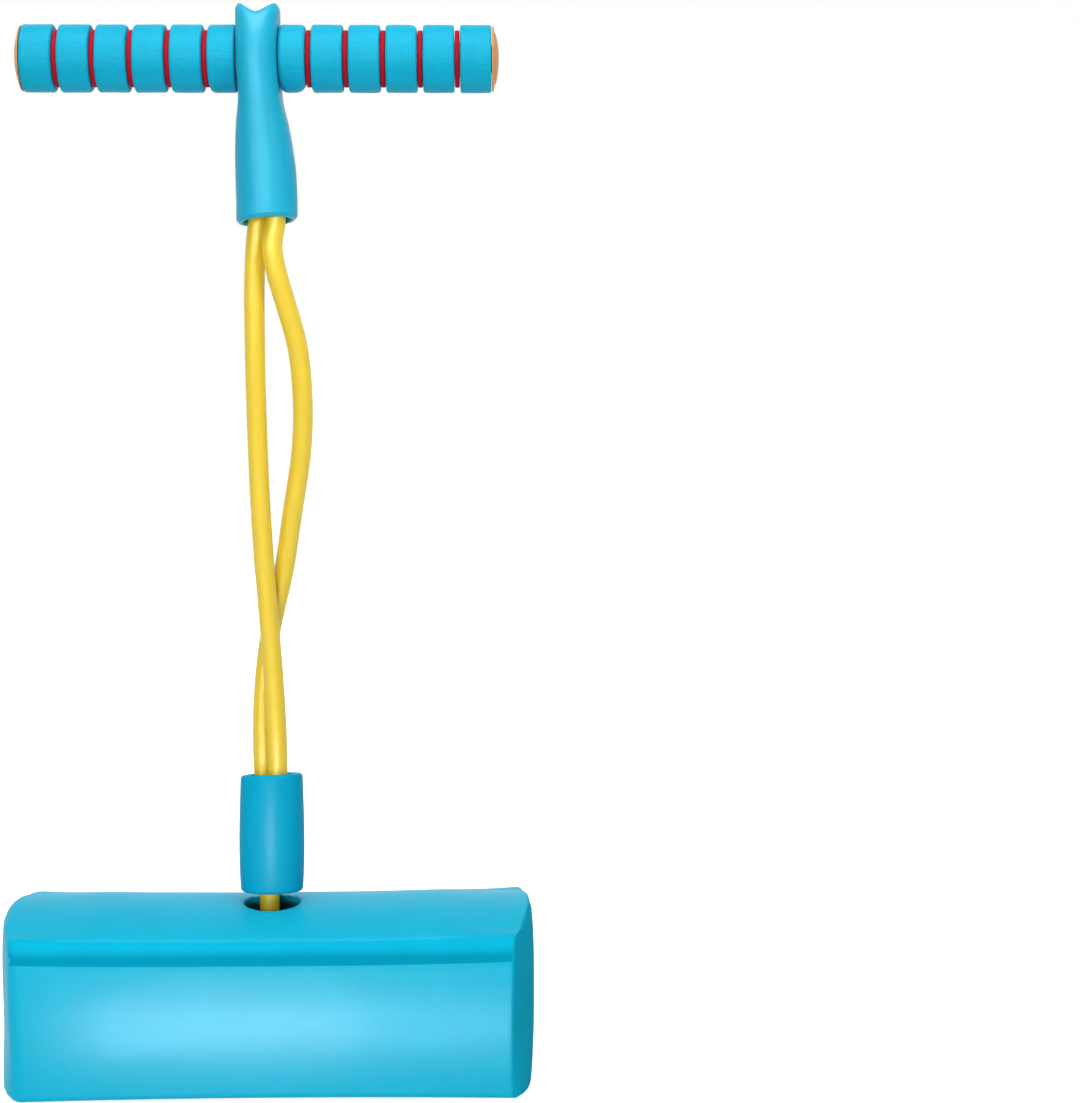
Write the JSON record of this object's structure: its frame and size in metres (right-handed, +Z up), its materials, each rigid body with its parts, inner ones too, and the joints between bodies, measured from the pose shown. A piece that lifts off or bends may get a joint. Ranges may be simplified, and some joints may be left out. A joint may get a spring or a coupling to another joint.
{
  "type": "foam pogo jumper",
  "caption": "Foam jumping toy: a loaf-shaped foam base, a looped elastic cord in two foam sleeves, and a ringed foam cross handle.",
  "frame": {"origin": "on the floor, in the middle of the base's underside", "axes": "+Z up, +X along the handle and the base, -Y the front that the picture shows"},
  "size_m": [0.254, 0.093, 0.5095],
  "materials": {
    "blue_foam": "satin",
    "blue_grip_foam": "matte",
    "red_foam": "matte",
    "yellow_cord": "satin",
    "orange_plastic": "satin",
    "white_plastic": "satin",
    "grey_plastic": "matte",
    "dark_plastic": "matte"
  },
  "bodies": {
    "base": {"foam_base": "blue_foam", "anchor_plate": "grey_plastic", "cord_crimp_front": "dark_plastic", "cord_crimp_back": "dark_plastic", "cord_root_front": "yellow_cord", "cord_root_back": "yellow_cord", "squeaker_bellows": "white_plastic", "squeaker_reed": "dark_plastic"},
    "cord_mouth": {"cord_mouth_front": "yellow_cord", "cord_mouth_back": "yellow_cord"},
    "stem": {"cord_strand_left": "yellow_cord", "cord_strand_right": "yellow_cord"},
    "collar": {"lower_sleeve": "blue_foam"},
    "hanger": {"upper_sleeve": "blue_foam", "cord_eye": "yellow_cord"},
    "handle": {"handle_core": "white_plastic", "grip_ring_left_1": "blue_grip_foam", "grip_ring_left_2": "blue_grip_foam", "grip_ring_left_3": "blue_grip_foam", "grip_ring_left_4": "blue_grip_foam", "grip_ring_left_5": "blue_grip_foam", "grip_ring_left_6": "blue_grip_foam", "grip_ring_right_1": "blue_grip_foam", "grip_ring_right_2": "blue_grip_foam", "grip_ring_right_3": "blue_grip_foam", "grip_ring_right_4": "blue_grip_foam", "grip_ring_right_5": "blue_grip_foam", "grip_ring_right_6": "blue_grip_foam", "grip_spacer_left_1": "red_foam", "grip_spacer_left_2": "red_foam", "grip_spacer_left_3": "red_foam", "grip_spacer_left_4": "red_foam", "grip_spacer_left_5": "red_foam", "grip_spacer_right_1": "red_foam", "grip_spacer_right_2": "red_foam", "grip_spacer_right_3": "red_foam", "grip_spacer_right_4": "red_foam", "grip_spacer_right_5": "red_foam", "end_cap_left": "orange_plastic", "end_cap_right": "orange_plastic"},
    "squeaker": {"squeaker_foot": "grey_plastic"}
  },
  "joints": [
    {"name": "lean_sideways", "type": "hinge", "parent": "base", "child": "cord_mouth", "pos_m": [0, 0, 0.0795], "axis": [0, 1, 0], "range_deg": [-10, 10], "stiffness_Nm_per_rad": 3, "deforming": ["cord_root_front", "cord_root_back", "cord_mouth_front", "cord_mouth_back"]},
    {"name": "lean_fore_aft", "type": "hinge", "parent": "cord_mouth", "child": "stem", "pos_m": [0, 0, 0.0795], "axis": [1, 0, 0], "range_deg": [-10, 10], "stiffness_Nm_per_rad": 3},
    {"name": "handle_pull", "type": "slide", "parent": "stem", "child": "hanger", "axis": [0, 0, 1], "range_m": [0, 0.25], "stiffness_N_per_m": 250, "deforming": ["cord_strand_left", "cord_strand_right", "cord_eye"]},
    {"name": "handle_roll", "type": "hinge", "parent": "hanger", "child": "handle", "pos_m": [0, 0, 0.4855], "axis": [1, 0, 0], "continuous": true},
    {"name": "sleeve_slide", "type": "slide", "parent": "stem", "child": "collar", "axis": [0, 0.1444, 0.9895], "range_m": [0, 0.05]},
    {"name": "squeaker_press", "type": "slide", "parent": "base", "child": "squeaker", "axis": [0, 0, 1], "range_m": [0, 0.007], "stiffness_N_per_m": 400, "deforming": ["squeaker_bellows"]}
  ]
}
